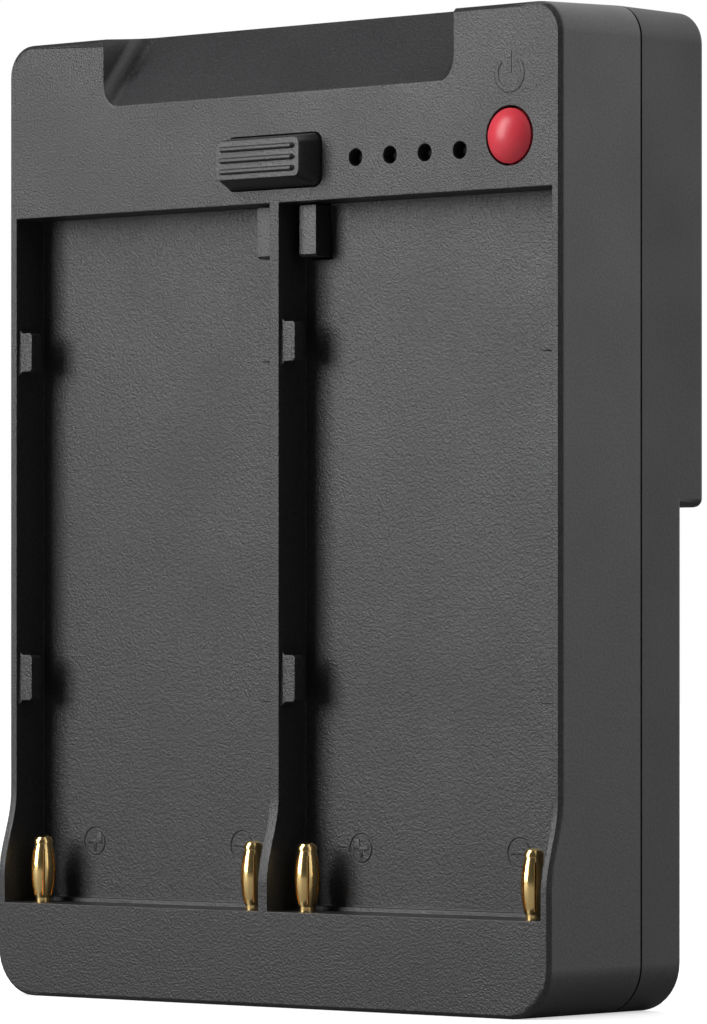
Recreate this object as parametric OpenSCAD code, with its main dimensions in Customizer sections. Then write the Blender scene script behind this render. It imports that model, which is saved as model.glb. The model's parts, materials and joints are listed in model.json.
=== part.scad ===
// Adapter plate that carries two slide-on camcorder batteries side by side
// and hangs by a dovetail wedge on the V-shaped mount of a camera.
// It stands on its bottom edge. X runs to the right, Y backwards and Z up.
// Y = 0 is the plane of the rims round the battery bays, Z = 0 is the bottom.

/* [Battery bays] */
// Width of one battery bay
bay_w = 39.2; // [38.6:0.1:42]
// Depth of the bay floor behind the rims
bay_depth = 4.6; // [4.2:0.1:5.4]
// Width of the rim outside each bay
rim_t = 1.3; // [1.1:0.1:2]
// Thickness of the divider between the bays
divider_t = 1.4; // [1:0.1:2.4]

/* [Case] */
// Height of the case
case_h = 109.8; // [108:0.1:118]
// Height of the band above the bays
band_h = 20; // [19.6:0.1:21]
// Thickness of the moulded walls
wall_t = 1.8; // [1.4:0.1:2]
// Depth of the front shell behind the rims
front_depth = 14.1; // [13.6:0.1:15]
// Depth of the case below the step
lower_depth = 21.4; // [20.4:0.1:23]
// How far the upper block stands out behind the lower back
step_out = 4; // [3:0.1:6]
// Height of the step in the back
step_z = 55.6; // [54.8:0.1:62]
// Radius of the top corners
top_corner_r = 3.5; // [2:0.1:4.5]
// Radius of the bottom corners
bottom_corner_r = 5.5; // [3:0.1:7]
// Radius of the rounded front and back edges
edge_r = 0.9; // [0.5:0.1:1.2]
// Width of the shadow groove where the shells meet
seam_w = 0.3; // [0.2:0.05:0.5]
// Depth of the shadow groove
seam_d = 0.45; // [0.3:0.05:0.8]

/* [Chin] */
// Height of the shelf that the batteries stand over
chin_h = 10.7; // [9.5:0.1:11.5]
// How far the chin stands out in front of the rims
chin_out = 2; // [1:0.1:3]
// Height at which the rims start to curve out
ramp_z = 13.6; // [13:0.1:16]
// Height of that curve
ramp_h = 10; // [6:0.5:16]
// Height of the ledge along the foot of each bay floor
ledge_h = 0.5; // [0.3:0.1:0.8]
// How far the ledge stands out of the floor
ledge_d = 0.7; // [0.4:0.1:1]

/* [Finger scoop] */
// Width of the scoop in the top edge
scoop_w = 52.2; // [44:0.1:56]
// Depth of the scoop below the top
scoop_h = 7.8; // [6:0.1:8.2]
// How far back the scoop reaches at the top
scoop_depth = 7; // [5:0.1:7.6]
// Radius along the foot of its side walls
scoop_r = 2; // [1:0.1:3]

/* [Hooks] */
// How far a hook reaches over the battery groove
hook_out = 2; // [1.4:0.1:2.4]
// Thickness of a hook
hook_t = 1.6; // [1.2:0.1:1.9]
// How far the hooks lie behind the rims
hook_recess = 0.45; // [0.2:0.05:0.6]
// Height of the lower hooks' feet above the shelf
hook_low_z = 23.3; // [20:0.1:28]
// Height of the upper hooks' feet above the shelf
hook_high_z = 61.4; // [56:0.1:64]
// Length of a lower hook
hook_low_len = 5.3; // [4:0.1:6.5]
// Length of an upper hook
hook_high_len = 4.5; // [4:0.1:6]

/* [Contact pins] */
// Distance of a pin from the side wall of its bay
pin_inset = 3.3; // [3:0.1:5]
// Distance of the pins behind the rims
pin_y = 1.05; // [0.6:0.05:1.6]
// Height of a pin above the shelf
pin_h = 7.7; // [6.5:0.1:8.5]
// Diameter of the bulged contact cage
pin_bulge_d = 2.9; // [2.5:0.05:3.1]
// Diameter of a pin's collar
pin_d = 1.8; // [1.6:0.05:2]
// Diameter of the cage where it meets the collar and the cap
pin_cage_d = 2.04; // [1.9:0.02:2.1]
// Diameter of a pin's cap
pin_cap_d = 2.2; // [2.15:0.05:2.4]
// Width of the slots between the springs of the cage
pin_slot = 0.3; // [0.2:0.05:0.4]

/* [Release button] */
// Width of the button where it leaves the case
button_w = 13.8; // [12:0.1:15]
// Height of the button where it leaves the case
button_h = 5.8; // [5.4:0.1:6.4]
// How far the button stands out
button_out = 2.9; // [2.6:0.1:4]
// Height of the button's middle above the bays
button_rise = 4.6; // [4.4:0.1:5]
// How much narrower the button's face is than its foot, on each side
button_taper = 0.65; // [0.4:0.05:0.8]
// How far the face sits above the middle of the foot
button_lift = 0.2; // [0:0.05:0.3]
// Radius of the button's corners
button_r = 0.9; // [0.5:0.1:1.2]
// How far the button and its latches travel
button_travel = 2.5; // [1.5:0.1:2.6]
// Distance between the grip ribs
rib_pitch = 1.25; // [1.1:0.05:1.5]
// Width of a grip rib
rib_w = 0.6; // [0.4:0.05:0.8]
// How far the ribs stand out of the button's face
rib_out = 0.45; // [0.3:0.05:0.6]
// Distance of a latch from the divider
latch_inset = 1.2; // [0.8:0.1:2]
// Width of a latch
latch_w = 2.5; // [2:0.1:3.2]
// Length of a latch down the bay
latch_len = 6; // [4:0.1:6.5]
// Distance of the latch faces behind the rims
latch_recess = 2.1; // [2:0.1:2.6]
// Clearance round the button and the latches
play = 0.2; // [0.15:0.05:0.3]

/* [Indicators and switch] */
// Distance of the first lamp from the middle of the case
lamp_x = 12; // [11.6:0.1:13]
// Distance of the last lamp from the power button
lamp_gap = 7; // [6.4:0.1:8]
// How far the lamps lie behind the face of the case
lamp_tip = 1; // [0.3:0.1:1.2]
// Height of the lamps above the bays
lamp_rise = 4.5; // [4.2:0.1:5]
// Diameter of a lamp
lamp_d = 1.8; // [1.6:0.1:2.2]
// Distance of the power button from the side of the case
power_inset = 7.2; // [6.4:0.1:7.4]
// Height of the power button above the bays
power_rise = 5.7; // [5.5:0.1:6.1]
// Diameter of the power button
power_d = 6; // [5.4:0.1:6.4]
// How far its dome stands out
power_dome = 1.6; // [1:0.1:2]
// How far the power button travels
power_travel = 0.5; // [0.3:0.1:0.6]

/* [Dovetail wedge] */
// Width of the wedge at its top
wedge_top_w = 60; // [58:0.5:62]
// Width of the wedge at its foot
wedge_foot_w = 41; // [41:0.5:46]
// Height of the wedge
wedge_h = 50; // [48:0.5:51]
// Height of the wedge's foot above the bottom
wedge_z = 3.5; // [2:0.1:4]
// Thickness of the neck behind the undercut
neck_t = 3.6; // [3:0.1:5]
// Thickness of the lip
lip_t = 4; // [3:0.1:5]
// How far the lip reaches over the neck
lip_out = 3; // [2:0.1:3.5]
// Bevel round the lip
lip_bevel = 0.8; // [0.4:0.1:1.2]
// Width of the channel for the mount's plug
channel_w = 25; // [24:0.5:26]
// Height of the channel, with the socket block at its head
channel_h = 28.5; // [27:0.5:30]
// Height of the socket block
socket_block_h = 11; // [10:0.1:12]

/* [Hidden] */
$fn = 48;

// Colours
black_plastic = [0.16, 0.16, 0.17];
red_plastic = [0.75, 0.16, 0.2];
gold = [0.83, 0.66, 0.3];
steel = [0.7, 0.7, 0.72];
board_green = [0.1, 0.32, 0.18];
dark_ferrite = [0.25, 0.25, 0.27];

// A small amount that cutters run past the face they cut
eps = 0.5;
// Gap between a loose piece and what carries it
seat = 0.05;

// Places worked out from the driving dimensions
half_divider = divider_t / 2;
case_w = 2 * (bay_w + rim_t) + divider_t;
upper_depth = lower_depth + step_out;
bay_top_z = case_h - band_h;
bay_h = bay_top_z - chin_h;
floor_back = bay_depth + wall_t;
cavity_x = case_w / 2 - wall_t;
cavity_top = case_h - wall_t;
lower_inner = lower_depth - wall_t;
upper_inner = upper_depth - wall_t;

// Front shell
shelf_t = wall_t;
band_floor_t = 1.2;
scoop_z = case_h - scoop_h;
scoop_angle = atan2(scoop_depth, scoop_h);
ramp_steps = 14;
fillet_steps = 6;
corner_steps = 6;

// Release mechanism
button_z = bay_top_z + button_rise;
plate_y = floor_back + 0.3;
plate_t = 1.6;
plate_w = 17;
plate_back = plate_y + plate_t;
latch_top = bay_top_z - play;
latch_foot = bay_top_z - latch_len;
latch_x = half_divider + latch_inset;
spring_x = 4.8;
spring_r = 1.9;
spring_wire = 0.45;
spring_turns = 5;
spigot_r = 1.2;
spigot_len = 1.3;
spring_post_y = plate_back + button_travel + 3.8;

// Power button, lamps and the board behind them
power_x = case_w / 2 - power_inset;
lamp_pitch = (power_x - lamp_gap - lamp_x) / 3;
power_z = bay_top_z + power_rise;
hole_play = 0.25;
flange_y = wall_t + 0.3;
flange_t = 0.8;
flange_r = power_d / 2 + 0.75;
stem_r = 1.5;
switch_face = flange_y + flange_t + 1 + power_travel;
switch_t = 2;
plunger_r = 1.2;
board_t = 1.2;
top_board_y = switch_face + switch_t;
top_board_z = bay_top_z + band_floor_t + 1.2;
top_board_h = 8.8;
top_post_x = [lamp_x - 0.6, power_x - 5.6];
top_post_z = top_board_z + top_board_h - 1.9;
lamp_z = bay_top_z + lamp_rise;
lamp_base_t = 1;

// Boards in the case
main_board_y = floor_back + 4;
board_room = 8.4;
main_board_w = 2 * (cavity_x - board_room);
main_board_z = 15.5;
main_board_h = 60;
main_post_x = main_board_w / 2 - 4;
ribbon_w = 6;
ribbon_x = main_post_x - 2 - ribbon_w;
lead_x = [main_post_x - 5, 8];
choke_r = 6;
choke_x = 13;
choke_z = main_board_z + 47;
can_r = 3.5;
can_x = 9;
can_z = main_board_z + 30;
main_post_z = [main_board_z + 4.5, main_board_z + main_board_h - 4.5];
contact_board_z = 5;
contact_board_y = [wall_t - chin_out + 0.1, wall_t - chin_out + 5.6];
contact_board_room = 1.2;
contact_board_w = 2 * (cavity_x - contact_board_room);

// Housing screws: upper corners, beside the step, and the foot
screw_r = 1;
screw_head_r = 2;
screw_head_t = 1.5;
screw_seat_y = front_depth + 3.5;
screw_tip_y = front_depth - 5.9;
boss_r = 2.4;
tube_r = 3.2;
housing_screw_at = [
    for (side = [-1, 1])
        for (at = [[5.7, case_h - 5.8], [6.2, step_z - 4.6], [9.2, 4.1]])
            [side * (case_w / 2 - at[0]), at[1]]
];

// Wedge
neck_back = lower_depth + neck_t;
wedge_back = neck_back + lip_t;
wedge_lean = (wedge_top_w - wedge_foot_w) / 2 / wedge_h;
wedge_screw_r = 1.5;
wedge_head_r = 2.8;
wedge_head_t = 1.6;
wedge_boss_r = 3;
wedge_boss_y = lower_inner - 4;
wedge_screw_tip = lower_inner - 2.8;
wedge_screw_at = [
    for (side = [-1, 1])
        for (at = [[channel_w / 2 + 3.4, wedge_z + 8.5], [channel_w / 2 + 7.5, wedge_z + 42.5]])
            [side * at[0], at[1]]
];
socket_foot = wedge_z + channel_h - socket_block_h;
socket_y = lower_depth + 3.8;
socket_len = 8;
power_socket_x = 8.4;
data_socket_x = 2.9;
power_socket_r = 1.15;
data_socket_r = 0.65;
socket_wall = 0.35;
tail_r = 0.6;
tail_z = socket_foot + socket_len + 0.9;
tail_tip = lower_inner - 1.8;

// Pins, from the left to the right
pin_x = [
    -half_divider - bay_w + pin_inset, -half_divider - pin_inset,
    half_divider + pin_inset, half_divider + bay_w - pin_inset
];
pin_root = contact_board_z - 0.8;
pin_core_r = pin_d / 2 - 0.42;
pin_flange_r = pin_d / 2 + 0.25;
component_y = main_board_y + board_t;

// Extrudes a drawing in X and Z from y0 to y1
module along_y(y0, y1) {
    translate([0, y1, 0]) rotate([90, 0, 0]) linear_extrude(y1 - y0) children();
}

// Extrudes a drawing in Y and Z from x0 to x1
module along_x(x0, x1) {
    translate([x0, 0, 0]) rotate([90, 0, 90]) linear_extrude(x1 - x0) children();
}

// Box between two corners
module box(from, to) {
    translate(from) cube(to - from);
}

// Round bar along Y
module bar_y(x, z, r, y0, y1, r_end = undef) {
    translate([x, y0, z]) rotate([-90, 0, 0])
        cylinder(h = y1 - y0, r1 = r, r2 = is_undef(r_end) ? r : r_end);
}

// Half width, at height z, of an outline that is pulled in by s
function reach(z, s, w, z0, z1, r0, r1) =
    let (
        below = z0 + r0 - z,
        above = z - (z1 - r1)
    )
    below > 0 && r0 > 0 ? corner_reach(below, s, w, r0)
    : above > 0 && r1 > 0 ? corner_reach(above, s, w, r1)
    : w / 2 - s;

function corner_reach(d, s, w, r) =
    r - s >= d - 0.000001 ? w / 2 - r + sqrt(max(0, (r - s) * (r - s) - d * d)) : undef;

// How deep an edge of radius e is rounded away at a distance s inside the outline
function rounding(s, e) = s >= e ? 0 : e - sqrt(e * e - (e - s) * (e - s));

// One level of the rounded block: a flat side at y_flat, and a face at face_y with rounded edges
function level(z, w, z0, z1, r0, r1, y_flat, face_y, e) =
    let (
        out = sign(y_flat - face_y),
        rim = reach(z, 0, w, z0, z1, r0, r1),
        half = [
            for (i = [0 : fillet_steps])
                let (
                    s = e * (1 - cos(90 * i / fillet_steps)),
                    x = reach(z, s, w, z0, z1, r0, r1),
                    edge = min(r0 > 0 ? z - z0 : e, r1 > 0 ? z1 - z : e)
                )
                is_undef(x) ? [w / 2 - max(r0, r1) - 0.4 * i, face_y + out * rounding(edge, e)]
                : [x, face_y + out * rounding(min(s, edge + 0.000001), e)]
        ]
    )
    concat(
        [[rim, y_flat]],
        half,
        [for (i = [fillet_steps : -1 : 0]) [-half[i][0], half[i][1]]],
        [[-rim, y_flat]]
    );

// Heights of the levels that a rounded end of radius r needs, from its tip inwards
function end_levels(r, e) =
    let (first = acos(1 - e / r))
    concat(
        [for (i = [0 : fillet_steps]) e * (1 - cos(90 * i / fillet_steps))],
        [for (i = [1 : corner_steps]) r * (1 - cos(first + (90 - first) * i / corner_steps))]
    );

// Block with rounded corners in the X and Z outline and a rounded edge round one face
module rounded_block(w, z0, z1, r0, r1, y_flat, e, heights, face) {
    levels = concat(
        r0 > 0 ? [for (d = end_levels(r0, e)) z0 + d] : [z0],
        heights,
        r1 > 0 ? [for (k = [len(end_levels(r1, e)) - 1 : -1 : 0]) z1 - end_levels(r1, e)[k]] : [z1]
    );
    rings = [for (z = levels) [for (p = level(z, w, z0, z1, r0, r1, y_flat, face(z), e)) [p[0], p[1], z]]];
    n = len(rings[0]);
    m = len(rings);
    polyhedron(
        points = [for (ring = rings) each ring],
        faces = concat(
            [[for (i = [0 : n - 1]) y_flat > face(z0) ? n - 1 - i : i]],
            [
                for (k = [0 : m - 2])
                    for (i = [0 : n - 1])
                        let (
                            a = k * n + i,
                            b = k * n + (i + 1) % n,
                            quad = [a, a + n, b + n, b]
                        )
                        for (corners = [[0, 1, 2], [0, 2, 3]])
                            y_flat > face(z0)
                                ? [for (c = [2, 1, 0]) quad[corners[c]]]
                                : [for (c = corners) quad[c]]
            ],
            [[for (i = [0 : n - 1]) (m - 1) * n + (y_flat > face(z0) ? i : n - 1 - i)]]
        )
    );
}

// How far the rims stand out in front at height z, in a soft S-curve
function ramp_out(z) =
    let (t = min(1, max(0, (ramp_z + ramp_h - z) / ramp_h)))
    chin_out * (1 - cos(180 * t)) / 2;

// Rounded rectangle with its own corner radii at the foot and the top
module outline(w, z0, z1, r0, r1) {
    for (side = [-1, 1]) {
        translate([side * (w / 2 - r0), z0 + r0]) circle(r0);
        translate([side * (w / 2 - r1), z1 - r1]) circle(r1);
    }
    translate([-w / 2, z0 + r0]) square([w, z1 - z0 - r0 - r1]);
    translate([-w / 2 + r0, z0]) square([w - 2 * r0, z1 - z0 - r1]);
    translate([-w / 2 + r1, z0 + r0]) square([w - 2 * r1, z1 - z0 - r0]);
}

module case_outline(inset = 0) {
    outline(case_w - 2 * inset, inset, case_h - inset, bottom_corner_r - inset, top_corner_r - inset);
}

// Both bays, open to the front
module bays() {
    for (side = [-1, 1])
        box([side > 0 ? half_divider : -half_divider - bay_w, -chin_out - eps, chin_h],
            [side > 0 ? half_divider + bay_w : -half_divider, bay_depth, bay_top_z]);
}

// Cut for the scoop: a trough with rounded foot corners, swept up the slope
module scoop_cut() {
    trough = 12;
    translate([0, 0, scoop_z]) rotate([-scoop_angle, 0, 0]) translate([0, 0, -5])
        linear_extrude(5 + 2 * scoop_h) {
            translate([-scoop_w / 2 + scoop_r, -trough]) square([scoop_w - 2 * scoop_r, trough]);
            translate([-scoop_w / 2, -trough]) square([scoop_w, trough - scoop_r]);
            for (side = [-1, 1])
                translate([side * (scoop_w / 2 - scoop_r), -scoop_r]) circle(scoop_r);
        }
}

// Hollow of the front shell behind the bays, the band and the chin
module front_hollow() {
    back = front_depth + eps;
    slope_run = wall_t / cos(scoop_angle);
    slope_foot = scoop_z + (wall_t - slope_run) * scoop_h / scoop_depth;
    slope_y = (cavity_top - scoop_z) * scoop_depth / scoop_h + slope_run;
    half_scoop = scoop_w / 2 + wall_t;
    // Behind the bay floors, up to the roof
    along_y(floor_back, back) difference() {
        case_outline(wall_t);
        translate([-half_scoop, bay_top_z + band_floor_t]) square([2 * half_scoop, case_h]);
    }
    // Inside the chin
    along_x(-cavity_x, cavity_x) polygon([
        [wall_t - chin_out, wall_t + 2], [wall_t - chin_out + 2, wall_t], [floor_back + eps, wall_t],
        [floor_back + eps, chin_h - shelf_t], [wall_t - chin_out, chin_h - shelf_t]
    ]);
    // Behind the top band, under the scoop
    along_x(-half_scoop, half_scoop) polygon([
        [wall_t, bay_top_z + band_floor_t], [wall_t, slope_foot], [slope_y, cavity_top],
        [back, cavity_top], [back, bay_top_z + band_floor_t]
    ]);
    // Behind the top band, beside the scoop
    for (side = [-1, 1])
        box([side > 0 ? half_scoop - eps : -cavity_x + 1, wall_t, bay_top_z + band_floor_t],
            [side > 0 ? cavity_x - 1 : -half_scoop + eps, floor_back + eps, cavity_top - 1.2]);
}

// Hook on a bay wall, pointing along +X, with a bevelled root on both ends
module hook(foot, len) {
    translate([0, hook_recess + hook_t, 0]) rotate([90, 0, 0]) linear_extrude(hook_t)
        polygon([
            [-eps, foot - 0.5], [0, foot - 0.5], [0.5, foot], [hook_out - 0.3, foot], [hook_out, foot + 0.3],
            [hook_out, foot + len - 0.3], [hook_out - 0.3, foot + len], [0.5, foot + len],
            [0, foot + len + 0.5], [-eps, foot + len + 0.5]
        ]);
}

module hooks() {
    for (wall = [-half_divider - bay_w, half_divider])
        for (row = [[hook_low_z, hook_low_len], [hook_high_z, hook_high_len]]) {
            translate([wall, 0, chin_h]) hook(row[0], row[1]);
            translate([wall + bay_w, 0, chin_h]) mirror([1, 0, 0]) hook(row[0], row[1]);
        }
}

module front_shell() {
    color(black_plastic)
    difference() {
        union() {
            difference() {
                rounded_block(
                    case_w, 0, case_h, bottom_corner_r, top_corner_r, front_depth, edge_r,
                    [for (i = [0 : ramp_steps]) ramp_z + ramp_h * i / ramp_steps],
                    function (z) -ramp_out(z)
                );
                bays();
                scoop_cut();
                front_hollow();
            }
            hooks();
            // Ledge along the foot of each bay floor
            for (side = [-1, 1])
                box([side > 0 ? half_divider : -half_divider - bay_w, bay_depth - ledge_d, chin_h - eps],
                    [side > 0 ? half_divider + bay_w : -half_divider, bay_depth + eps, chin_h + ledge_h]);
            // Bosses for the housing screws
            for (at = housing_screw_at)
                bar_y(at[0], at[1], boss_r, at[1] > bay_top_z ? wall_t - 0.3 : floor_back - 0.3, front_depth);
            // Webs that tie the lower bosses to the bottom wall and the upper ones to the roof
            for (at = housing_screw_at)
                if (at[1] < chin_h)
                    box([at[0] - 0.8, floor_back - 0.3, wall_t - 0.4], [at[0] + 0.8, front_depth, at[1]]);
                else if (at[1] > bay_top_z)
                    box([at[0] - 0.8, wall_t, at[1]], [at[0] + 0.8, front_depth, cavity_top + 0.3]);
            // Posts for the main board
            for (side = [-1, 1])
                for (z = main_post_z)
                    bar_y(side * main_post_x, z, 2, floor_back - 0.3, main_board_y);
            // Posts for the indicator board
            for (x = top_post_x)
                bar_y(x, top_post_z, 1.6, wall_t - 0.3, top_board_y);
            // Ribs under the contact board
            for (x = [-20, 20])
                box([x - 1, wall_t - chin_out - 0.3, wall_t - 0.3],
                    [x + 1, contact_board_y[1], contact_board_z]);
        }
        // Pilot holes of the screws
        for (at = housing_screw_at)
            bar_y(at[0], at[1], screw_r + seat, screw_tip_y - 0.3, front_depth + eps);
        for (side = [-1, 1])
            for (z = main_post_z)
                bar_y(side * main_post_x, z, 0.75 + seat, floor_back, main_board_y + eps);
        for (x = top_post_x)
            bar_y(x, top_post_z, 0.75 + seat, wall_t + 0.6, top_board_y + eps);
        // Window of the release button
        along_y(-eps, wall_t + eps)
            outline_at(0, button_z, button_w + 2 * play, button_h + 2 * play, button_r + play);
        // Slots of the latches in the bay floors
        for (side = [-1, 1])
            box([side * (latch_x + latch_w / 2) - latch_w / 2 - play, bay_depth - eps, latch_foot - play],
                [side * (latch_x + latch_w / 2) + latch_w / 2 + play, floor_back + eps, bay_top_z]);
        // Holes of the lamps and the power button
        for (i = [0 : 3])
            bar_y(lamp_x + i * lamp_pitch, lamp_z, lamp_d / 2 + seat, -eps, wall_t + eps);
        bar_y(power_x, power_z, power_d / 2 + hole_play, -eps, wall_t + eps);
        // Holes of the contact pins in the shelf
        for (x = pin_x)
            translate([x, pin_y, chin_h - shelf_t - eps])
                cylinder(h = shelf_t + 2 * eps, r = pin_d / 2 + seat);
        // Shadow groove at the seam
        along_y(front_depth - seam_w, front_depth + eps) difference() {
            translate([-case_w, -case_h]) square([2 * case_w, 3 * case_h]);
            case_outline(seam_d);
        }
    }
}

// Rounded rectangle centred on a point
module outline_at(x, z, w, h, r) {
    translate([x, 0]) outline(w, z - h / 2, z + h / 2, r, r);
}

module back_shell() {
    color(black_plastic)
    difference() {
        union() {
            difference() {
                union() {
                    rounded_block(
                        case_w, 0, step_z + wall_t, bottom_corner_r, 0, front_depth, edge_r,
                        [step_z / 2], function (z) lower_depth
                    );
                    rounded_block(
                        case_w, step_z, case_h, edge_r + 0.1, top_corner_r, front_depth, edge_r,
                        [(step_z + case_h) / 2], function (z) upper_depth
                    );
                    // Straight sides where the two blocks meet
                    along_y(front_depth, lower_depth - edge_r)
                        translate([-case_w / 2, step_z - wall_t]) square([case_w, 3 * wall_t]);
                }
                // Hollow of the lower and the upper half
                along_y(front_depth - eps, lower_inner) case_outline(wall_t);
                along_y(front_depth - eps, upper_inner)
                    outline(2 * cavity_x, step_z + wall_t, cavity_top, 1, top_corner_r - wall_t);
            }
            intersection() {
                along_y(front_depth, upper_depth - edge_r) case_outline(0.4);
                for (at = housing_screw_at)
                    bar_y(at[0], at[1], tube_r, front_depth,
                          (at[1] > step_z ? upper_inner : lower_inner) + 0.3);
            }
            for (at = wedge_screw_at)
                bar_y(at[0], at[1], wedge_boss_r, wedge_boss_y, lower_inner + 0.3);
            // Posts and spigots of the release springs
            for (side = [-1, 1]) {
                bar_y(side * spring_x, button_z, spring_r + 0.9, spring_post_y, upper_inner + 0.3);
                bar_y(side * spring_x, button_z, spigot_r, spring_post_y - spigot_len, spring_post_y + 0.3);
            }
        }
        for (at = housing_screw_at) {
            bar_y(at[0], at[1], screw_r + 0.2, front_depth - eps, screw_seat_y + eps);
            bar_y(at[0], at[1], screw_head_r + 0.2, screw_seat_y, upper_depth + eps);
        }
        for (at = wedge_screw_at)
            bar_y(at[0], at[1], wedge_screw_r + seat, wedge_boss_y - eps, lower_depth + eps);
        // Window for the tails of the sockets
        along_y(lower_inner - eps, lower_depth + eps)
            translate([-power_socket_x - 2, tail_z - 1.5]) square([2 * power_socket_x + 4, 3]);
    }
}

// Outline of the wedge, narrow end down, pulled in by an inset
module wedge_outline(inset) {
    top = wedge_top_w / 2 - inset;
    foot = wedge_foot_w / 2 - inset;
    soft = 1.5;
    polygon([
        [-foot + soft, wedge_z], [foot - soft, wedge_z], [foot + soft * wedge_lean, wedge_z + soft],
        [top - soft * wedge_lean, wedge_z + wedge_h - soft], [top - soft, wedge_z + wedge_h],
        [-top + soft, wedge_z + wedge_h], [-top + soft * wedge_lean, wedge_z + wedge_h - soft],
        [-foot - soft * wedge_lean, wedge_z + soft]
    ]);
}

module dovetail_wedge() {
    color(black_plastic)
    difference() {
        union() {
            along_y(lower_depth, neck_back + eps) wedge_outline(lip_out);
            along_y(neck_back, wedge_back - lip_bevel) wedge_outline(0);
            hull() {
                along_y(wedge_back - lip_bevel - 0.01, wedge_back - lip_bevel) wedge_outline(0);
                along_y(wedge_back - 0.01, wedge_back) wedge_outline(lip_bevel);
            }
        }
        // Channel for the mount's plug
        box([-channel_w / 2, lower_depth - eps, wedge_z - eps],
            [channel_w / 2, wedge_back + eps, wedge_z + channel_h]);
        for (at = wedge_screw_at) {
            bar_y(at[0], at[1], wedge_screw_r + seat, lower_depth - eps, wedge_back + eps);
            bar_y(at[0], at[1], wedge_screw_r + seat, wedge_back - wedge_head_t - seat,
                  wedge_back + 0.01, wedge_head_r + seat);
        }
        // Pocket of the mount's lock in the right flank
        box([wedge_top_w / 2 - 6.5, neck_back + 1, wedge_z + wedge_h - 9],
            [wedge_top_w / 2 + eps, wedge_back + eps, wedge_z + wedge_h - 4]);
    }
}

module socket_block() {
    color(dark_ferrite)
    difference() {
        union() {
            box([-channel_w / 2 + 0.1, lower_depth, socket_foot],
                [channel_w / 2 - 0.1, wedge_back - 1, wedge_z + channel_h - 0.1]);
        }
        for (side = [-1, 1]) {
            socket_hole(side * power_socket_x, power_socket_r);
            socket_hole(side * data_socket_x, data_socket_r);
        }
    }
}

// Room in the block for one socket, its cap and its tail
module socket_hole(x, r) {
    wall_r = r + socket_wall + seat;
    translate([x, socket_y, socket_foot - eps]) cylinder(h = socket_len + eps + 1.8 + seat, r = wall_r);
    bar_y(x, tail_z, tail_r + seat, lower_depth - eps, socket_y);
}

// Turned socket with a blind bore from below and a solder tail to the front
module socket(x, r) {
    color(gold)
    difference() {
        union() {
            translate([x, socket_y, socket_foot + 0.3]) cylinder(h = socket_len + 1.5, r = r + socket_wall);
            bar_y(x, tail_z, tail_r, tail_tip, socket_y);
        }
        translate([x, socket_y, socket_foot + 0.3 - eps]) cylinder(h = socket_len - 0.3 + eps, r = r);
    }
}

module power_socket_left() { socket(-power_socket_x, power_socket_r); }
module power_socket_right() { socket(power_socket_x, power_socket_r); }
module data_socket_left() { socket(-data_socket_x, data_socket_r); }
module data_socket_right() { socket(data_socket_x, data_socket_r); }

// Contact pin: a core with a collar and a domed cap, inside a bulged cage with six slots
module contact_pin(x) {
    collar_h = 0.7;
    cap_h = 0.95;
    cap_r = pin_cap_d / 2;
    cage_t = 0.28;
    cage_end_r = pin_cage_d / 2;
    cage_h = pin_h - collar_h - cap_h;
    cage_root = 0.2;
    mid = chin_h + collar_h + cage_h / 2;
    // Radius of the arc through the collar, the bulge and the cap
    sag = pin_bulge_d / 2 - cage_end_r;
    arc_r = (cage_h * cage_h / 4 + sag * sag) / (2 * sag);
    arc_x = pin_bulge_d / 2 - arc_r;
    color(gold)
    translate([x, pin_y, 0]) {
        translate([0, 0, pin_root]) cylinder(h = chin_h + pin_h - 0.6 - pin_root, r = pin_core_r);
        translate([0, 0, chin_h - shelf_t - 0.4]) cylinder(h = shelf_t + 0.4 + collar_h, r = pin_d / 2);
        translate([0, 0, chin_h - shelf_t - 0.8]) cylinder(h = 0.8, r = pin_flange_r);
        // Domed cap
        translate([0, 0, chin_h + pin_h - cap_h]) cylinder(h = 0.4, r = cap_r);
        translate([0, 0, chin_h + pin_h - 0.55]) cylinder(h = 0.35, r1 = cap_r, r2 = cap_r - 0.2);
        translate([0, 0, chin_h + pin_h - 0.2]) cylinder(h = 0.2, r1 = cap_r - 0.2, r2 = cap_r - 0.6);
        difference() {
            rotate_extrude() translate([0, mid]) intersection() {
                difference() {
                    translate([arc_x, 0]) circle(arc_r, $fn = 160);
                    translate([arc_x, 0]) circle(arc_r - cage_t, $fn = 160);
                }
                translate([pin_core_r - 0.1, -cage_h / 2 - cage_root])
                    square([pin_bulge_d, cage_h + 2 * cage_root]);
            }
            for (turn = [15, 75, 135])
                rotate([0, 0, turn])
                    box([-pin_bulge_d, -pin_slot / 2, mid - cage_h / 2 + 0.1],
                        [pin_bulge_d, pin_slot / 2, mid + cage_h / 2 - 0.55]);
        }
    }
}

module pin_left_outer() { contact_pin(pin_x[0]); }
module pin_left_inner() { contact_pin(pin_x[1]); }
module pin_right_inner() { contact_pin(pin_x[2]); }
module pin_right_outer() { contact_pin(pin_x[3]); }

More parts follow.
